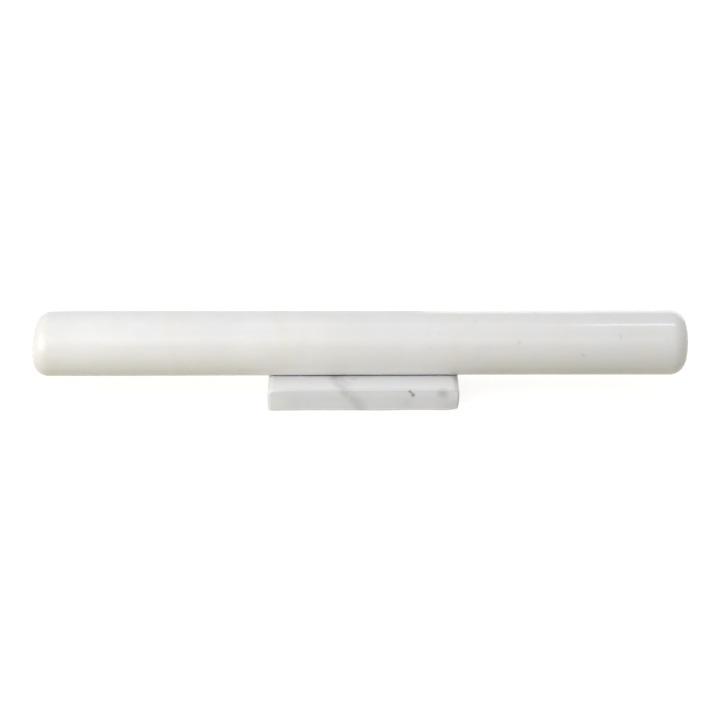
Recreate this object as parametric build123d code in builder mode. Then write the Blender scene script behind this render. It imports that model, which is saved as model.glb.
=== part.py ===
"""A straight rolling pin of solid marble, lying in the groove of its own marble stand.

Lengths are in millimetres and +Z is up. X runs along the pin and Y from the front to the back.
The origin is on the worktop, under the middle of the pin.
"""

import os
from math import asin, degrees

from build123d import *

# Rolling pin: one turned piece of marble with no handles and no bore.
pin_length = 400.0
pin_diameter = 40.0
end_dome_radius = 50.0  # each end is a shallow dome
end_corner_radius = 10.0  # rounding between the dome and the barrel

# Stand: one ground block of marble.
stand_length = 116.0
stand_depth = 58.0
stand_height = 15.0
stand_edge_radius = 2.0  # rounding of every outside edge but the two below
stand_end_radius = 4.3  # rounding of the two ends of the top, over which the groove runs out
stand_shift = 2.0  # the stand's middle lies this far towards +X from the pin's

# Groove: ground along the whole top of the stand, a little wider than the pin.
groove_depth = 2.8
groove_relief = 0.4  # the groove's radius is the pin's and this
groove_lip_radius = 0.8  # rounding where the groove meets the top and the ends
seat_gap = 0.3  # between the lowest line of the pin and the bottom of the groove

# Sizes and places that follow from those above.
pin_radius = pin_diameter / 2
groove_radius = pin_radius + groove_relief
groove_bottom_height = stand_height - groove_depth
groove_axis_height = groove_bottom_height + groove_radius
pin_axis_height = groove_bottom_height + seat_gap + pin_radius


# Rolling pin
# The half profile runs from the left tip over the barrel to the right tip, and turns about the pin's axis.
# The dome and the corner are arcs that meet with one tangent, and so do the corner and the barrel.
dome_angle = degrees(asin((pin_radius - end_corner_radius) / (end_dome_radius - end_corner_radius)))
corner_angle = 90 - dome_angle
pin_plane = Plane(origin=(0, 0, pin_axis_height), x_dir=(1, 0, 0), z_dir=(0, -1, 0))

with BuildPart() as rolling_pin:
    with BuildSketch(pin_plane):
        with BuildLine():
            left_dome = JernArc((-pin_length / 2, 0), (0, 1), end_dome_radius, -dome_angle)
            left_corner = JernArc(left_dome @ 1, left_dome % 1, end_corner_radius, -corner_angle)
            right_dome = JernArc((pin_length / 2, 0), (0, 1), end_dome_radius, dome_angle)
            right_corner = JernArc(right_dome @ 1, right_dome % 1, end_corner_radius, corner_angle)
            Line(left_corner @ 1, right_corner @ 1)
            Line(left_dome @ 0, right_dome @ 0)
        make_face()
    revolve(axis=Axis(pin_plane.origin, pin_plane.x_dir))
rolling_pin.part.label = "rolling_pin"


# Stand
# A block is rounded on every edge, the ends of its top the most. Then the groove is cut along it,
# and the edge where the groove meets the rounded block is broken all round.
with BuildPart() as pin_stand:
    with BuildSketch():
        with Locations((stand_shift, 0)):
            Rectangle(stand_length, stand_depth)
    extrude(amount=stand_height)
    top_end_edges = pin_stand.edges().group_by(Axis.Z)[-1].filter_by(Axis.Y)
    fillet(top_end_edges, stand_end_radius)
    front_and_back_edges = pin_stand.faces().filter_by(Axis.Y).edges()
    bottom_end_edges = pin_stand.edges().group_by(Axis.Z)[0].filter_by(Axis.Y)
    fillet(front_and_back_edges + bottom_end_edges, stand_edge_radius)
    with BuildSketch(Plane.YZ.offset(stand_shift - stand_length / 2)):
        with Locations((0, groove_axis_height)):
            Circle(groove_radius)
    extrude(amount=stand_length, mode=Mode.SUBTRACT)
    groove = pin_stand.faces().filter_by(GeomType.CYLINDER).sort_by(SortBy.AREA)[-1]
    fillet(groove.edges(), groove_lip_radius)
pin_stand.part.label = "pin_stand"


os.makedirs("parts", exist_ok=True)
for piece in (rolling_pin, pin_stand):
    export_step(piece.part, f"parts/{piece.part.label}.step")
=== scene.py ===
"""Looks of a marble rolling pin lying on its marble stand.

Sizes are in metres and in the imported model's own frame: X along the pin, Y from front to back, Z up.
Only the materials count in millimetres.
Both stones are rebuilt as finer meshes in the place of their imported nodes, with the slightly uneven
surfaces of hand-worked stone, and get procedural marble.
"""

import math

import bmesh
import bpy
from mathutils import Matrix, Vector, noise


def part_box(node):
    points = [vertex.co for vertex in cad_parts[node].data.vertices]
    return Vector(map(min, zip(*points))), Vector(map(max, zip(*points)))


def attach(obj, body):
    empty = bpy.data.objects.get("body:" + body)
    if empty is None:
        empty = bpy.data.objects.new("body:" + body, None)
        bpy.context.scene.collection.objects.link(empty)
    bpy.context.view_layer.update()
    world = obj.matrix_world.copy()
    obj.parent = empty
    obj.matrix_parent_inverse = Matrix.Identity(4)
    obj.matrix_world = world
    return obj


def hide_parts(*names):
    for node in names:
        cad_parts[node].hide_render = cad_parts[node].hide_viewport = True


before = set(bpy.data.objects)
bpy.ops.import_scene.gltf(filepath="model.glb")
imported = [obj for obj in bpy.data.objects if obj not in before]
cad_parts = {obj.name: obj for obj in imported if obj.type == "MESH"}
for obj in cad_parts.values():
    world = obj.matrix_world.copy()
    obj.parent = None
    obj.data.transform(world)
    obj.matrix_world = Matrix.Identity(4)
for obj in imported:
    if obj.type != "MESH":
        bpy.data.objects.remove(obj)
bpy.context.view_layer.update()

pin_low, pin_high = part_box("rolling_pin")
stand_low, stand_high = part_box("pin_stand")

MM = 0.001

# Pin
PIN_RADIUS = (pin_high.z - pin_low.z) / 2
PIN_MIDDLE = (pin_low + pin_high) / 2
END_DOME_RADIUS = 50 * MM
END_CORNER_RADIUS = 10 * MM

# Stand
STAND_EDGE_RADIUS = 2.0 * MM
STAND_END_RADIUS = 4.3 * MM
GROOVE_DEPTH = 2.55 * MM  # shallower and narrower than the true pin needs, to fit the pin's waist
GROOVE_RADIUS = PIN_RADIUS - 0.1 * MM
GROOVE_LIP = 0.1 * MM  # height over which the groove blends into the top

# Camera
CAMERA_ELEVATION = 24.0  # degrees above the pin's middle
CAMERA_DISTANCE = 1.3
CAMERA_DIP = 0.46  # degrees by which the camera aims below the pin's middle
CAMERA_ROLL = -0.11  # degrees
PIN_SHARE_OF_WIDTH = 655.5 / 720  # how much of the picture's width the pin fills


def make_camera():
    """A long lens in front of the pin and above it."""
    data = bpy.data.cameras.new("camera")
    camera = bpy.data.objects.new("camera", data)
    bpy.context.scene.collection.objects.link(camera)
    pin_length = pin_high.x - pin_low.x
    data.sensor_width = 36.0
    data.lens = data.sensor_width * PIN_SHARE_OF_WIDTH * CAMERA_DISTANCE / pin_length
    elevation = math.radians(CAMERA_ELEVATION)
    back = Vector((0, -math.cos(elevation), math.sin(elevation)))
    tilt = math.radians(90 - CAMERA_ELEVATION - CAMERA_DIP)
    camera.matrix_world = (
        Matrix.Translation(PIN_MIDDLE + back * CAMERA_DISTANCE)
        @ Matrix.Rotation(tilt, 4, "X")
        @ Matrix.Rotation(math.radians(CAMERA_ROLL), 4, "Z")
    )
    bpy.context.scene.camera = camera


# Stage and light
FLOOR_SIZE = 8.0
FLOOR_COLOUR = (0.48, 0.445, 0.315, 1)
FLOOR_GLOW_COLOUR = (0.925, 0.94, 1.0, 1)
FLOOR_GLOW = 0.82
WHITE = (1, 1, 1, 1)
AMBIENT = 0.56


def seen_directly(tree):
    """A socket that is 1 where a ray from the camera, a mirror or a glass looks at the surface."""
    path = tree.nodes.new("ShaderNodeLightPath")
    total = path.outputs["Is Camera Ray"]
    for name in ("Is Glossy Ray", "Is Transmission Ray"):
        either = tree.nodes.new("ShaderNodeMath")
        either.operation = "MAXIMUM"
        tree.links.new(total, either.inputs[0])
        tree.links.new(path.outputs[name], either.inputs[1])
        total = either.outputs[0]
    return total


def make_floor():
    """A pale floor that keeps the shadow and shows white where nothing shades it."""
    half = FLOOR_SIZE / 2
    mesh = bpy.data.meshes.new("floor")
    corners = [(-half, -half, 0), (half, -half, 0), (half, half, 0), (-half, half, 0)]
    mesh.from_pydata(corners, [], [(0, 1, 2, 3)])
    floor = bpy.data.objects.new("floor", mesh)
    bpy.context.scene.collection.objects.link(floor)
    material = bpy.data.materials.new("floor")
    material.use_nodes = True
    tree = material.node_tree
    tree.nodes.clear()
    output = tree.nodes.new("ShaderNodeOutputMaterial")
    both = tree.nodes.new("ShaderNodeAddShader")
    matt = tree.nodes.new("ShaderNodeBsdfDiffuse")
    matt.inputs["Color"].default_value = FLOOR_COLOUR
    glow = tree.nodes.new("ShaderNodeEmission")
    glow.inputs["Color"].default_value = FLOOR_GLOW_COLOUR
    strength = tree.nodes.new("ShaderNodeMath")
    strength.operation = "MULTIPLY"
    strength.inputs[1].default_value = FLOOR_GLOW
    tree.links.new(seen_directly(tree), strength.inputs[0])
    tree.links.new(strength.outputs[0], glow.inputs["Strength"])
    tree.links.new(matt.outputs[0], both.inputs[0])
    tree.links.new(glow.outputs[0], both.inputs[1])
    tree.links.new(both.outputs[0], output.inputs["Surface"])
    mesh.materials.append(material)


def make_world():
    """White for the eye, and plain soft light for the stone."""
    world = bpy.data.worlds.new("studio")
    bpy.context.scene.world = world
    world.use_nodes = True
    tree = world.node_tree
    tree.nodes.clear()
    output = tree.nodes.new("ShaderNodeOutputWorld")
    pick = tree.nodes.new("ShaderNodeMixShader")
    ambient = tree.nodes.new("ShaderNodeBackground")
    ambient.inputs["Color"].default_value = WHITE
    ambient.inputs["Strength"].default_value = AMBIENT
    white = tree.nodes.new("ShaderNodeBackground")
    white.inputs["Color"].default_value = WHITE
    white.inputs["Strength"].default_value = 1.0
    tree.links.new(seen_directly(tree), pick.inputs[0])
    tree.links.new(ambient.outputs[0], pick.inputs[1])
    tree.links.new(white.outputs[0], pick.inputs[2])
    tree.links.new(pick.outputs[0], output.inputs["Surface"])


# Lamps: name, place, width, height, radiance where 1 is white, and the point that the lamp faces
SOFTBOXES = (
    ("top", (-0.10, -0.20, 1.25), 1.1, 0.9, 0.25, PIN_MIDDLE),
    ("high_left", (-0.50, -0.72, 0.90), 1.2, 0.8, 0.3, PIN_MIDDLE),
    ("front", (-0.25, -1.00, 0.72), 1.4, 0.7, 0.66, PIN_MIDDLE),
    ("left", (-1.10, -0.50, 0.42), 0.8, 0.7, 1.4, PIN_MIDDLE),
    ("low_left", (-0.80, -0.78, 0.26), 0.9, 0.5, 2.0, PIN_MIDDLE),
    ("panel", (0.52, 1.0, 0.30), 0.9, 0.6, 0.77, (0.52, 0.0, 0.30)),
    ("strip", (0.48, -0.02, 1.2), 0.44, 0.15, 3.8, (0.48, -0.02, 0.0)),
    ("faint_strip", (0.06, -0.02, 1.2), 0.40, 0.15, 0.7, (0.06, -0.02, 0.0)),
)


def make_softbox(name, place, width, height, radiance, aim):
    """A flat lamp that the camera doesn't see."""
    data = bpy.data.lights.new(name, "AREA")
    data.shape = "RECTANGLE"
    data.size, data.size_y = width, height
    data.energy = radiance * math.pi * width * height
    lamp = bpy.data.objects.new(name, data)
    bpy.context.scene.collection.objects.link(lamp)
    place = Vector(place)
    turn = (Vector(aim) - place).to_track_quat("-Z", "Y").to_matrix().to_4x4()
    lamp.matrix_world = Matrix.Translation(place) @ turn
    lamp.visible_camera = False


# Mesh helpers
SAME_POINT = 0.001 * MM  # points that are closer than this become one


def steps_between(start, end, step):
    """Evenly spaced values from start to end, both included, about step apart."""
    count = max(1, round(abs(end - start) / step))
    return [start + (end - start) * k / count for k in range(count + 1)]


def with_clusters(values, centres, reach, count):
    """The sorted values, with count more of them on each side of each centre, out to reach."""
    step = reach / count
    extra = [c + step * k for c in centres for k in range(-count, count + 1)]
    kept = []
    for value in sorted(values + extra):
        if not kept or value - kept[-1] > step / 2:
            kept.append(value)
    return kept


def fade(value, start, end):
    """0 at start and 1 at end, smooth between them."""
    share = min(1.0, max(0.0, (value - start) / (end - start)))
    return share * share * (3 - 2 * share)


def closeness(away):
    """1 at the middle of a mark, falling smoothly to 0 at its edge and beyond, where away is 1 or more."""
    return (1 - away * away) ** 2 if away < 1 else 0.0


def ring_object(name, rings):
    """A smooth closed piece from rings of points. Points of the end rings that meet are joined."""
    around = len(rings[0])
    vertices = [point for ring in rings for point in ring]
    faces = []
    for ring in range(len(rings) - 1):
        for k in range(around):
            here, there = ring * around, (ring + 1) * around
            following = (k + 1) % around
            faces.append((here + k, here + following, there + following, there + k))
    mesh = bpy.data.meshes.new(name)
    mesh.from_pydata(vertices, [], faces)
    shape = bmesh.new()
    shape.from_mesh(mesh)
    bmesh.ops.remove_doubles(shape, verts=shape.verts, dist=SAME_POINT)
    bmesh.ops.recalc_face_normals(shape, faces=shape.faces)
    for face in shape.faces:
        face.smooth = True
    shape.to_mesh(mesh)
    shape.free()
    made = bpy.data.objects.new(name, mesh)
    bpy.context.scene.collection.objects.link(made)
    return made


def waves(place, sizes):
    """Gentle unevenness from 0 to 1. sizes holds lengths of waves and their shares."""
    return sum(share * (noise.noise(place / size) + 1) / 2 for size, share in sizes)


def work_surface(made, hollow):
    """Takes stone off, along the surface's own direction, as deep as hollow(place) says."""
    depths = [hollow(vertex.co) for vertex in made.data.vertices]
    inwards = [-vertex.normal for vertex in made.data.vertices]
    for vertex, depth, inward in zip(made.data.vertices, depths, inwards):
        vertex.co += inward * depth
    made.data.update()


def store(made, name, value):
    """Keeps value(place) on each point of the mesh, for the material to read by name."""
    values = [value(vertex.co) for vertex in made.data.vertices]
    made.data.attributes.new(name, "FLOAT", "POINT").data.foreach_set("value", values)


# Rolling pin
RING_STEP = 2.0 * MM
SECTORS = 144  # points round a ring, before those for the flaws
DOME_STEPS = 14
CORNER_STEPS = 14

# Flaws of the polished barrel: place along X, degrees above the horizontal at the front, reach, depth
FLAWS = (
    (-145.8 * MM, 73, 1.0 * MM, 0.10 * MM),
    (47.2 * MM, 40, 0.9 * MM, 0.12 * MM),
    (69.7 * MM, 64, 1.2 * MM, 0.14 * MM),
    (95.8 * MM, 24, 1.4 * MM, 0.17 * MM),
    (106.5 * MM, 91, 1.0 * MM, 0.25 * MM),
    (120.7 * MM, -3, 0.9 * MM, 0.20 * MM),
    (134.5 * MM, 1, 1.6 * MM, 0.20 * MM),
    (157.2 * MM, 34, 1.6 * MM, 0.22 * MM),
    (184.8 * MM, 27, 0.9 * MM, 0.12 * MM),
    (-82.0 * MM, 201, 1.1 * MM, 0.16 * MM),
    (-10.0 * MM, 148, 0.9 * MM, 0.14 * MM),
    (61.0 * MM, 170, 1.2 * MM, 0.12 * MM),
    (143.0 * MM, 133, 0.9 * MM, 0.18 * MM),
)
FLAW_FRAY = 0.5 * MM  # how far a flaw's outline strays
FLAW_FRAY_SIZE = 0.9 * MM
FLAW_SEED = 1
FLAW_FULL_DEPTH = 0.1 * MM  # depth from which a flaw has all of its colour
FLAW_MESH_REACH = 1.6 * MM
FLAW_MESH_STEPS = 6

# How the finished pin strays from a true one
WAVE_HEIGHT = 0.05 * MM
WAVE_SIZES = ((70 * MM, 0.7), (22 * MM, 0.3))  # length of the waves and their share
WAIST_PLACE = 70 * MM  # the barrel is thinnest here
WAIST_REACH = 230 * MM
WAIST_DEPTH = 0.34 * MM
LEFT_LEAN = 0.073  # slope of the left end: its top lies back, its bottom stands out
LEFT_LEAN_LENGTH = 30 * MM
LEFT_LEAN_SETBACK = 0.14 * MM  # keeps the leaning end within the pin's length
LEFT_TAPER = 0.4 * MM  # how much lower the barrel's top runs at its left end


def end_profile():
    """(distance from the tip along X, radius) from the tip to the barrel, over the dome and the corner."""
    rise = math.asin((PIN_RADIUS - END_CORNER_RADIUS) / (END_DOME_RADIUS - END_CORNER_RADIUS))
    reach = END_DOME_RADIUS - END_CORNER_RADIUS
    points = []
    for a in steps_between(0, rise, rise / DOME_STEPS):
        points.append((END_DOME_RADIUS * (1 - math.cos(a)), END_DOME_RADIUS * math.sin(a)))
    for a in steps_between(rise, math.pi / 2, (math.pi / 2 - rise) / CORNER_STEPS)[1:]:
        points.append((
            END_DOME_RADIUS - reach * math.cos(rise) - END_CORNER_RADIUS * math.cos(a),
            reach * math.sin(rise) + END_CORNER_RADIUS * math.sin(a),
        ))
    return points


def left_share(x):
    """1 at the pin's left tip, falling to 0 over its left end."""
    return 1 - fade(x, pin_low.x, pin_low.x + LEFT_LEAN_LENGTH)


def pin_point(x, radius, angle):
    """A point of the pin, with the left end leaning. angle is measured from the front, upwards."""
    height = radius * math.sin(angle)
    x += left_share(x) * (LEFT_LEAN * height + LEFT_LEAN_SETBACK)
    return Vector((x, -radius * math.cos(angle), PIN_MIDDLE.z + height))


def flaw_depth(place):
    """How deep the flaws are at a place on the pin. Noise makes their outlines ragged."""
    place = place + FLAW_FRAY * noise.noise_vector(place / FLAW_FRAY_SIZE)
    angle = math.atan2(place.z - PIN_MIDDLE.z, -place.y)
    total = 0.0
    for x, degrees, reach, depth in FLAWS:
        if abs(place.x - x) < reach:
            turn = (angle - math.radians(degrees) + math.pi) % (2 * math.pi) - math.pi
            total += depth * closeness(math.hypot(place.x - x, PIN_RADIUS * turn) / reach)
    return total


def pin_hollow(place):
    """How far the finished pin lies inside the true one."""
    waist = WAIST_DEPTH * closeness(abs(place.x - WAIST_PLACE) / WAIST_REACH)
    taper = LEFT_TAPER * left_share(place.x) * max(0.0, (place.z - PIN_MIDDLE.z) / PIN_RADIUS)
    return WAVE_HEIGHT * waves(place, WAVE_SIZES) + waist + taper + flaw_depth(place)


def make_pin():
    """A turned bar with domed ends, closer meshed round each flaw."""
    noise.seed_set(FLAW_SEED)  # without a seed, noise_vector gives other values in each run
    profile = end_profile()
    corner_end = profile[-1][0]
    barrel = steps_between(pin_low.x + corner_end, pin_high.x - corner_end, RING_STEP)[1:-1]
    flaw_places = [x for x, degrees, reach, depth in FLAWS]
    barrel = with_clusters(barrel, flaw_places, FLAW_MESH_REACH, FLAW_MESH_STEPS)
    under = -math.pi / 2  # each ring starts and ends under the pin, where there is no flaw
    angles = [under + 2 * math.pi * k / SECTORS for k in range(SECTORS)]
    flaw_angles = [math.radians(degrees) for x, degrees, reach, depth in FLAWS]
    angles = with_clusters(angles, flaw_angles, FLAW_MESH_REACH / PIN_RADIUS, FLAW_MESH_STEPS)
    stations = [(pin_low.x + reach, radius) for reach, radius in profile]
    stations += [(x, PIN_RADIUS) for x in barrel]
    stations += [(pin_high.x - reach, radius) for reach, radius in reversed(profile)]
    pin = ring_object("marble_pin", [[pin_point(x, radius, a) for a in angles] for x, radius in stations])
    work_surface(pin, pin_hollow)
    store(pin, "flaw", lambda place: min(1.0, flaw_depth(place) / FLAW_FULL_DEPTH))
    return pin


# Stand
OUTLINE_STEP = 1.2 * MM
ROW_STEP = 1.0 * MM
LIP_MESH_REACH = 1.5 * MM
LIP_MESH_STEPS = 6
EDGE_STEPS = 8
END_STEPS = 16
FACE_RINGS = 12

GRIND_HEIGHT = 0.09 * MM  # how far the ground faces stray from flat
GRIND_SIZES = ((34 * MM, 0.75), (9 * MM, 0.25))  # length of the waves and their share

# Worn places on the stand's edges: middle, reach and depth
WEAR = (
    (Vector((stand_high.x, stand_low.y, 0)), 9 * MM, 1.0 * MM),
    (Vector((34 * MM, stand_low.y, 0)), 26 * MM, 0.4 * MM),
    (Vector((-22 * MM, stand_low.y, 0)), 42 * MM, 0.25 * MM),
    (Vector((stand_low.x, stand_high.y, 0)), 10 * MM, 0.9 * MM),
    (Vector((20 * MM, stand_high.y, stand_high.z)), 16 * MM, 0.4 * MM),
    (Vector((stand_high.x, stand_high.y, stand_high.z)), 8 * MM, 0.5 * MM),
)


def corner(middle_x, middle_z, radius, start, count):
    """Points of a quarter circle from the angle start on, without the last one."""
    angles = [start + math.pi / 2 * k / count for k in range(count)]
    return [(middle_x + radius * math.cos(a), middle_z + radius * math.sin(a)) for a in angles]


def stand_outline(inset):
    """[(x, z)] round the block seen from the front, drawn in by inset, from its lower right corner."""
    foot, shoulder = STAND_EDGE_RADIUS, STAND_END_RADIUS
    left, right, top = stand_low.x, stand_high.x, stand_high.z
    quarter = math.pi / 2
    runs = (
        corner(right - foot, foot, foot - inset, -quarter, EDGE_STEPS),
        corner(right - shoulder, top - shoulder, shoulder - inset, 0, END_STEPS),
        corner(left + shoulder, top - shoulder, shoulder - inset, quarter, END_STEPS),
        corner(left + foot, foot, foot - inset, 2 * quarter, EDGE_STEPS),
    )
    ends = (
        (right - inset, foot),
        (right - shoulder, top - inset),
        (left + inset, top - shoulder),
        (left + foot, inset),
    )
    points = []
    for k, run in enumerate(runs):
        following = runs[(k + 1) % 4][0]
        count = max(1, round(math.dist(ends[k], following) / OUTLINE_STEP))
        points += run
        for step in range(count):
            share = step / count
            points.append(tuple(a + (b - a) * share for a, b in zip(ends[k], following)))
    return points


def groove_height(y):
    """Height of the groove's surface, or far above the stand outside it."""
    axis = stand_high.z - GROOVE_DEPTH + GROOVE_RADIUS
    if abs(y) >= GROOVE_RADIUS:
        return axis
    return axis - math.sqrt(GROOVE_RADIUS ** 2 - y * y)


def lower_of(first, second, blend):
    """The lower of two heights, rounded where they meet within blend."""
    near = max(blend - abs(first - second), 0.0) / blend
    return min(first, second) - near * near * blend / 4


def stand_ring(y, inset, share=1.0):
    """The outline at one depth, cut down to the groove. A share below 1 draws it in to its middle line."""
    half = stand_high.z / 2
    ring = []
    for x, z in stand_outline(inset):
        z = lower_of(z, groove_height(y), GROOVE_LIP)
        middle_x = min(max(x, stand_low.x + half), stand_high.x - half)
        ring.append(Vector((middle_x + (x - middle_x) * share, y, half + (z - half) * share)))
    return ring


def stand_hollow(place):
    """How far the finished stand lies inside the true block. Its underside stays flat."""
    ground = GRIND_HEIGHT * waves(place, GRIND_SIZES) * fade(place.z, 0, STAND_EDGE_RADIUS)
    worn = sum(depth * closeness((place - middle).length / reach) for middle, reach, depth in WEAR)
    return ground + worn


def make_stand():
    """A rounded block with a groove, as rings from its front to its back."""
    edge = STAND_EDGE_RADIUS
    lip = math.sqrt(GROOVE_RADIUS ** 2 - (GROOVE_RADIUS - GROOVE_DEPTH) ** 2)
    rows = steps_between(stand_low.y + edge, stand_high.y - edge, ROW_STEP)
    rows = with_clusters(rows, (-lip, lip), LIP_MESH_REACH, LIP_MESH_STEPS)
    front = [stand_ring(stand_low.y, edge, k / FACE_RINGS) for k in range(FACE_RINGS)]
    back = [stand_ring(stand_high.y, edge, k / FACE_RINGS) for k in range(FACE_RINGS)]
    for k in range(EDGE_STEPS):
        a = math.pi / 2 * k / EDGE_STEPS
        over, inset = edge * (1 - math.cos(a)), edge * (1 - math.sin(a))
        front.append(stand_ring(stand_low.y + over, inset))
        back.append(stand_ring(stand_high.y - over, inset))
    rings = front + [stand_ring(y, 0) for y in rows] + list(reversed(back))
    stand = ring_object("marble_stand", rings)
    work_surface(stand, stand_hollow)
    return stand


# Materials
SEED_STEP = (17.3, 5.9, 11.1)  # how far apart the noises of two seeds lie
NOISE_MEAN = 0.5
STONE_IOR = 1.5
STONE_SCATTER = (1.0, 0.7, 0.48)  # how far red, green and blue go into the stone


class Nodes:
    """A new material, with short ways to add its nodes."""

    def __init__(self, name):
        self.material = bpy.data.materials.new(name)
        self.material.use_nodes = True
        self.tree = self.material.node_tree
        self.tree.nodes.clear()

    def put(self, socket, value):
        """Links a socket to another, or sets it to a plain value."""
        if isinstance(value, bpy.types.NodeSocket):
            self.tree.links.new(value, socket)
        else:
            socket.default_value = value

    def add(self, kind, inputs, output=0, **settings):
        """Adds a node, sets its settings and inputs, and gives one of its outputs."""
        node = self.tree.nodes.new(kind)
        for name, value in settings.items():
            setattr(node, name, value)
        for name, value in inputs.items():
            self.put(node.inputs[name], value)
        return node.outputs[output]

    def place(self):
        """The point's place in the frame, in millimetres."""
        place = self.add("ShaderNodeTexCoord", {}, "Object")
        return self.add("ShaderNodeVectorMath", {0: place, "Scale": 1 / MM}, operation="SCALE")

    def coordinates(self, place):
        """The x, y and z of a place."""
        split = self.tree.nodes.new("ShaderNodeSeparateXYZ")
        self.put(split.inputs[0], place)
        return split.outputs

    def maths(self, operation, a, b=0.0):
        return self.add("ShaderNodeMath", {0: a, 1: b}, operation=operation)

    def plus(self, a, b):
        return self.maths("ADD", a, b)

    def times(self, a, b):
        return self.maths("MULTIPLY", a, b)

    def larger(self, a, b):
        return self.maths("MAXIMUM", a, b)

    def away(self, a, b):
        """How far apart two values are."""
        return self.maths("ABSOLUTE", self.maths("SUBTRACT", a, b))

    def vector(self, operation, a, b):
        output = "Value" if operation in ("DOT_PRODUCT", "DISTANCE") else "Vector"
        return self.add("ShaderNodeVectorMath", {0: a, 1: b}, output, operation=operation)

    def noise(self, place, size, seed, detail=2.0, output=0):
        """Soft noise from 0 to 1, mostly near 0.5, with patches about size across. Output 1 is a vector."""
        moved = self.vector("ADD", place, tuple(seed * step for step in SEED_STEP))
        inputs = {"Vector": moved, "Scale": 1 / size, "Detail": detail}
        return self.add("ShaderNodeTexNoise", inputs, output)

    def stir(self, place, size, reach, seed):
        """The place pushed about by noise, by up to about reach."""
        push = self.vector("SUBTRACT", self.noise(place, size, seed, output=1), (NOISE_MEAN,) * 3)
        push = self.add("ShaderNodeVectorMath", {0: push, "Scale": 2.0 * reach}, operation="SCALE")
        return self.vector("ADD", place, push)

    def between(self, value, start, end, first=0.0, last=1.0):
        """Goes smoothly from first to last while value goes from start to end."""
        inputs = {"Value": value, "From Min": start, "From Max": end, "To Min": first, "To Max": last}
        return self.add("ShaderNodeMapRange", inputs, interpolation_type="SMOOTHSTEP")

    def zone(self, value, start, full, share=1.0):
        """0 up to start, and share from full on."""
        return self.between(value, start, full, 0.0, share)

    def patches(self, place, size, seed, detail, start, end, first=0.0, last=1.0):
        """Goes from first to last while soft noise goes from start to end."""
        return self.between(self.noise(place, size, seed, detail), start, end, first, last)

    def mix(self, share, first, second):
        """A colour that goes from first to second while share goes from 0 to 1."""
        return self.add("ShaderNodeMix", {0: share, 6: first, 7: second}, 2, data_type="RGBA")

    def spot(self, place, middle, reach):
        """1 at the middle, and 0 from reach on."""
        return self.between(self.vector("DISTANCE", place, middle), reach, 0.0)

    def bed(self, place, across, middle, reach, core=0.0):
        """1 within core of a plane, and 0 from reach on. across is square to the plane."""
        along = self.vector("DOT_PRODUCT", place, Vector(across).normalized())
        return self.between(self.away(along, middle), reach, core)

    def stone(self, colour, roughness, height, bump, subsurface, subsurface_scale):
        """The shader of both stones. Some light enters the stone and comes out close by."""
        shader = self.tree.nodes.new("ShaderNodeBsdfPrincipled")
        self.put(shader.inputs["Base Color"], colour)
        self.put(shader.inputs["Roughness"], roughness)
        shader.inputs["IOR"].default_value = STONE_IOR
        shader.inputs["Subsurface Weight"].default_value = subsurface
        shader.inputs["Subsurface Radius"].default_value = STONE_SCATTER
        shader.inputs["Subsurface Scale"].default_value = subsurface_scale
        relief = {"Height": height, "Strength": 1.0, "Distance": bump}
        self.put(shader.inputs["Normal"], self.add("ShaderNodeBump", relief))
        output = self.tree.nodes.new("ShaderNodeOutputMaterial")
        self.put(output.inputs["Surface"], shader.outputs[0])
        return self.material


# Colours of the pin
PIN_MILKY = (0.872, 0.869, 0.872, 1)
PIN_CLOUD = (0.830, 0.828, 0.831, 1)
PIN_GREY = (0.700, 0.705, 0.725, 1)
PIN_WARM = (0.812, 0.742, 0.605, 1)
PIN_FLECK = (0.93, 0.93, 0.92, 1)
PIN_PIT = (0.55, 0.53, 0.49, 1)

# The pin's marks, with lengths in millimetres
PIN_GREY_ZONE = (-200, 220, 0.55)  # places along X where the grey starts and is full, and its share
WARM_BED_ACROSS = (1.0, 0.10, 0.06)
WARM_CLOUD_SHARE = 0.12
FLECK_SPACING = 5.0
FLECK_EDGE = (0.10, 0.04)  # parts of the spacing over which a fleck's edge fades in
FLECK_SHARE = 0.6
PIT_SHARE = 0.35
PIT_ROUGHNESS = 0.6

# Warm beds across the pin: place along X in millimetres, half-width and strength
WARM_BEDS = (
    (-190, 14, 0.12),
    (-111, 6, 0.16),
    (-104, 12, 0.10),
    (-46, 9, 0.22),
    (-13, 9, 0.12),
    (58, 12, 0.10),
    (88, 9, 0.10),
    (121, 16, 0.14),
    (171, 8, 0.08),
)


def pin_clouds(nodes, stirred):
    """Milky stone with large and small clouds, greyer towards its right end."""
    large = nodes.patches(stirred, size=55, seed=2, detail=4, start=0.40, end=0.66)
    small = nodes.patches(stirred, size=13, seed=3, detail=5, start=0.45, end=0.75)
    colour = nodes.mix(nodes.larger(large, small), PIN_MILKY, PIN_CLOUD)
    along = nodes.coordinates(stirred)[0]
    return nodes.mix(nodes.zone(along, *PIN_GREY_ZONE), colour, PIN_GREY)


def pin_warmth(nodes, place, stirred):
    """How warm the stone is: faint beds across the pin, and faint clouds."""
    warmth = nodes.patches(
        stirred, size=34, seed=4, detail=3, start=0.50, end=0.75, last=WARM_CLOUD_SHARE)
    for middle, reach, strength in WARM_BEDS:
        bed = nodes.bed(stirred, WARM_BED_ACROSS, middle, reach)
        warmth = nodes.plus(warmth, nodes.times(bed, strength))
    patchy = nodes.patches(place, size=9, seed=5, detail=4, start=0.30, end=0.65, first=0.45)
    return nodes.times(warmth, patchy)


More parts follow.
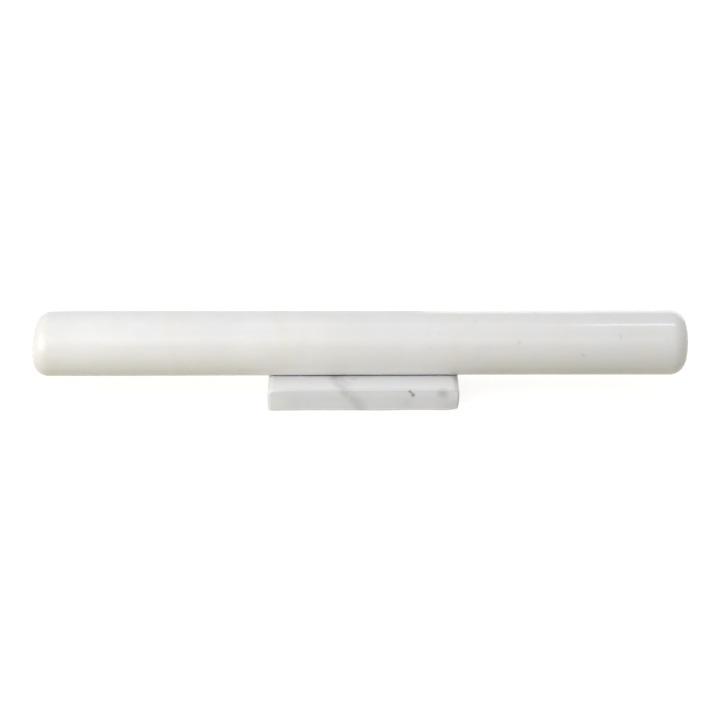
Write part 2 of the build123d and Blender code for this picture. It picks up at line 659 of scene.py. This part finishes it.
def pin_marble():
    """Polished milky marble with soft clouds, faint warm beds across it, and a few flecks and pits."""
    nodes = Nodes("pin_marble")
    place = nodes.place()
    stirred = nodes.stir(place, size=26, reach=5, seed=1)
    colour = pin_clouds(nodes, stirred)
    colour = nodes.mix(pin_warmth(nodes, place, stirred), colour, PIN_WARM)

    grains = nodes.add("ShaderNodeTexVoronoi", {"Vector": place, "Scale": 1 / FLECK_SPACING}, "Distance")
    fleck = nodes.between(grains, *FLECK_EDGE)
    colour = nodes.mix(nodes.times(fleck, FLECK_SHARE), colour, PIN_FLECK)
    flaw = nodes.add("ShaderNodeAttribute", {}, "Fac", attribute_name="flaw")
    colour = nodes.mix(nodes.times(flaw, PIT_SHARE), colour, PIN_PIT)

    smears = nodes.patches(place, size=11, seed=6, detail=3, start=0.35, end=0.7, first=0.09, last=0.14)
    roughness = nodes.larger(smears, nodes.times(flaw, PIT_ROUGHNESS))
    crystals = nodes.noise(place, size=0.9, seed=7)
    return nodes.stone(
        colour, roughness, crystals, bump=0.002 * MM, subsurface=0.12, subsurface_scale=1.5 * MM)


# Colours of the stand
# Painted light: a paler colour for the top, the left end, the upper front and the foot, where more light
# falls
STAND_PAINTED_LIGHT = (0.920, 0.914, 0.920, 1)
STAND_ROUNDED_PAINTED_SHADE = (0.715, 0.730, 0.755, 1)  # painted shade on the rounded edges of the top, toning down their highlight
STAND_PALE = (0.745, 0.760, 0.815, 1)
STAND_CLOUD = (0.700, 0.717, 0.757, 1)
STAND_GREY = (0.520, 0.527, 0.545, 1)
STAND_DARK = (0.200, 0.205, 0.205, 1)

# Zones of painted light and painted shade on the stand, in millimetres: where the colour starts, where it
# is full, and its share there
# painted shade on the rounded edges of the top
ROUNDED_PAINTED_SHADE_ZONE = (12.2, 13.0, 0.9)  # height
# painted light on the top and the ends
PAINTED_LIGHT_TOP = (28.0, 26.9, 0.9)  # distance from the middle plane, so on the top and the ends
# painted light on the left end, which faces the lamps
PAINTED_LIGHT_LEFT_END = (-36, -56, 0.5)  # place along X
# painted light high on the faces
PAINTED_LIGHT_BROW = (8.0, 12.5, 0.28)  # height
PAINTED_LIGHT_BROW_END = (13.6, 12.5)  # height, with no painted light on the brow above it
# painted light on the foot, lifting the shade on the lower rounded edges
PAINTED_LIGHT_FOOT = (2.6, 1.4, 1.0)  # height

# The stand's vein, in millimetres: a plane through a point, with a core in a wider halo
VEIN_ACROSS = (0.742, 0.226, 0.547)
VEIN_POINT = Vector((-6.96, -29.0, 10.95))
# Bands of the vein: how far off the plane, half-width, half-width of the full part, and share
VEIN_BANDS = (
    (-0.7, 3.4, 0.4, 0.24),
    (0.7, 5.8, 1.0, 0.36),
)

# Thin threads towards the back: they run where noise is near its mean
THREAD_EDGE = (0.035, 0.0, 0.30)  # distances from the mean where a thread starts and is full, and its share
THREAD_ZONE = (-24, 4)  # places along Y where the threads start and are full

# Grey patches on the stand's front and top, and painted shade at its right end and top-right corner: middle
# in millimetres, reach and strength
GREY_PATCHES_AND_PAINTED_SHADE = (
    ((-3.4, -13.9, 15.0), 4.0, 0.35),
    ((50.2, -29.0, 11.6), 5.2, 1.10),
    ((50.0, -29.0, 5.0), 9.0, 0.20),
    ((28.6, -29.0, 5.4), 4.5, 0.30),
    # painted shade: the top's right corner beside the pin
    ((58.7, -12.7, 15.0), 4.5, 0.70),
    # painted shade: the right end, turned away from the lamps
    ((60.0, -20.0, 6.0), 11.0, 0.60),
)
# Dark spots: middle in millimetres and reach
DARK_SPOTS = (
    ((30.0, -29.0, 13.2), 1.6),
    ((31.9, -29.0, 10.8), 2.0),
    ((31.0, -29.0, 12.1), 1.2),
    ((-38.0, 29.0, 6.0), 1.2),
    ((12.0, 22.0, 15.0), 0.9),
)


def stand_painted_light(nodes, place):
    """Painted light: how much paler the stone is painted where more light falls, most on top, and some at
    the left end, high on the faces and at the foot.
    """
    along, depth, height = nodes.coordinates(place)
    top = nodes.zone(nodes.maths("ABSOLUTE", depth), *PAINTED_LIGHT_TOP)
    left_end = nodes.zone(along, *PAINTED_LIGHT_LEFT_END)
    brow = nodes.times(nodes.zone(height, *PAINTED_LIGHT_BROW), nodes.zone(height, *PAINTED_LIGHT_BROW_END))
    foot = nodes.zone(height, *PAINTED_LIGHT_FOOT)
    return nodes.larger(nodes.larger(top, left_end), nodes.larger(brow, foot))


def stand_veins_and_painted_shade(nodes, place, stirred):
    """How grey the stone is: one vein across it, thin threads towards its back, and patches, two of which
    are painted shade at the right end.
    """
    middle = VEIN_POINT.dot(Vector(VEIN_ACROSS).normalized())
    frayed = nodes.stir(stirred, size=5, reach=0.8, seed=19)
    grey = 0.0
    for shift, reach, core, strength in VEIN_BANDS:
        band = nodes.bed(frayed, VEIN_ACROSS, middle + shift, reach, core)
        grey = nodes.plus(grey, nodes.times(band, strength))
    from_mean = nodes.away(nodes.noise(stirred, size=30, seed=14, detail=3), NOISE_MEAN)
    behind = nodes.zone(nodes.coordinates(place)[1], *THREAD_ZONE)
    grey = nodes.plus(grey, nodes.times(nodes.zone(from_mean, *THREAD_EDGE), behind))
    # grey patches, and painted shade at the right end
    for middle, reach, strength in GREY_PATCHES_AND_PAINTED_SHADE:
        grey = nodes.plus(grey, nodes.times(nodes.spot(stirred, middle, reach), strength))
    uneven = nodes.patches(place, size=7, seed=13, detail=3, start=0.30, end=0.65, first=0.45)
    return nodes.times(grey, uneven)


def stand_marble():
    """Fine-ground grey-white marble with a soft grey vein and a few dark spots, with painted light that
    makes the top, the left end, the upper front and the foot paler, and painted shade on the rounded top
    edges and at the right end.
    """
    nodes = Nodes("stand_marble")
    place = nodes.place()
    stirred = nodes.stir(place, size=12, reach=1.6, seed=11)
    clouds = nodes.patches(stirred, size=24, seed=12, detail=4, start=0.38, end=0.68)
    colour = nodes.mix(clouds, STAND_PALE, STAND_CLOUD)
    rounded = nodes.zone(nodes.coordinates(place)[2], *ROUNDED_PAINTED_SHADE_ZONE)
    # painted shade on the rounded edges of the top
    colour = nodes.mix(rounded, colour, STAND_ROUNDED_PAINTED_SHADE)
    # painted light: the top, the left end, the upper front and the foot are painted paler
    colour = nodes.mix(stand_painted_light(nodes, place), colour, STAND_PAINTED_LIGHT)
    # grey vein, threads and patches, with painted shade at the right end
    colour = nodes.mix(stand_veins_and_painted_shade(nodes, place, stirred), colour, STAND_GREY)
    ragged = nodes.stir(place, size=1.5, reach=0.5, seed=15)
    for middle, reach in DARK_SPOTS:
        colour = nodes.mix(nodes.spot(ragged, middle, reach), colour, STAND_DARK)

    roughness = nodes.patches(place, size=9, seed=16, detail=3, start=0.3, end=0.7, first=0.30, last=0.42)
    crystals = nodes.noise(place, size=0.6, seed=17, detail=3)
    return nodes.stone(
        colour, roughness, crystals, bump=0.015 * MM, subsurface=0.25, subsurface_scale=2.0 * MM)


def dress(piece, body, node, material):
    """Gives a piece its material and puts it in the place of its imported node."""
    piece.data.materials.append(material)
    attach(piece, body)
    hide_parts(node)


make_camera()
make_floor()
make_world()
for softbox in SOFTBOXES:
    make_softbox(*softbox)
dress(make_pin(), "pin", "rolling_pin", pin_marble())
dress(make_stand(), "stand", "pin_stand", stand_marble())

bpy.context.scene.view_settings.view_transform = "Standard"
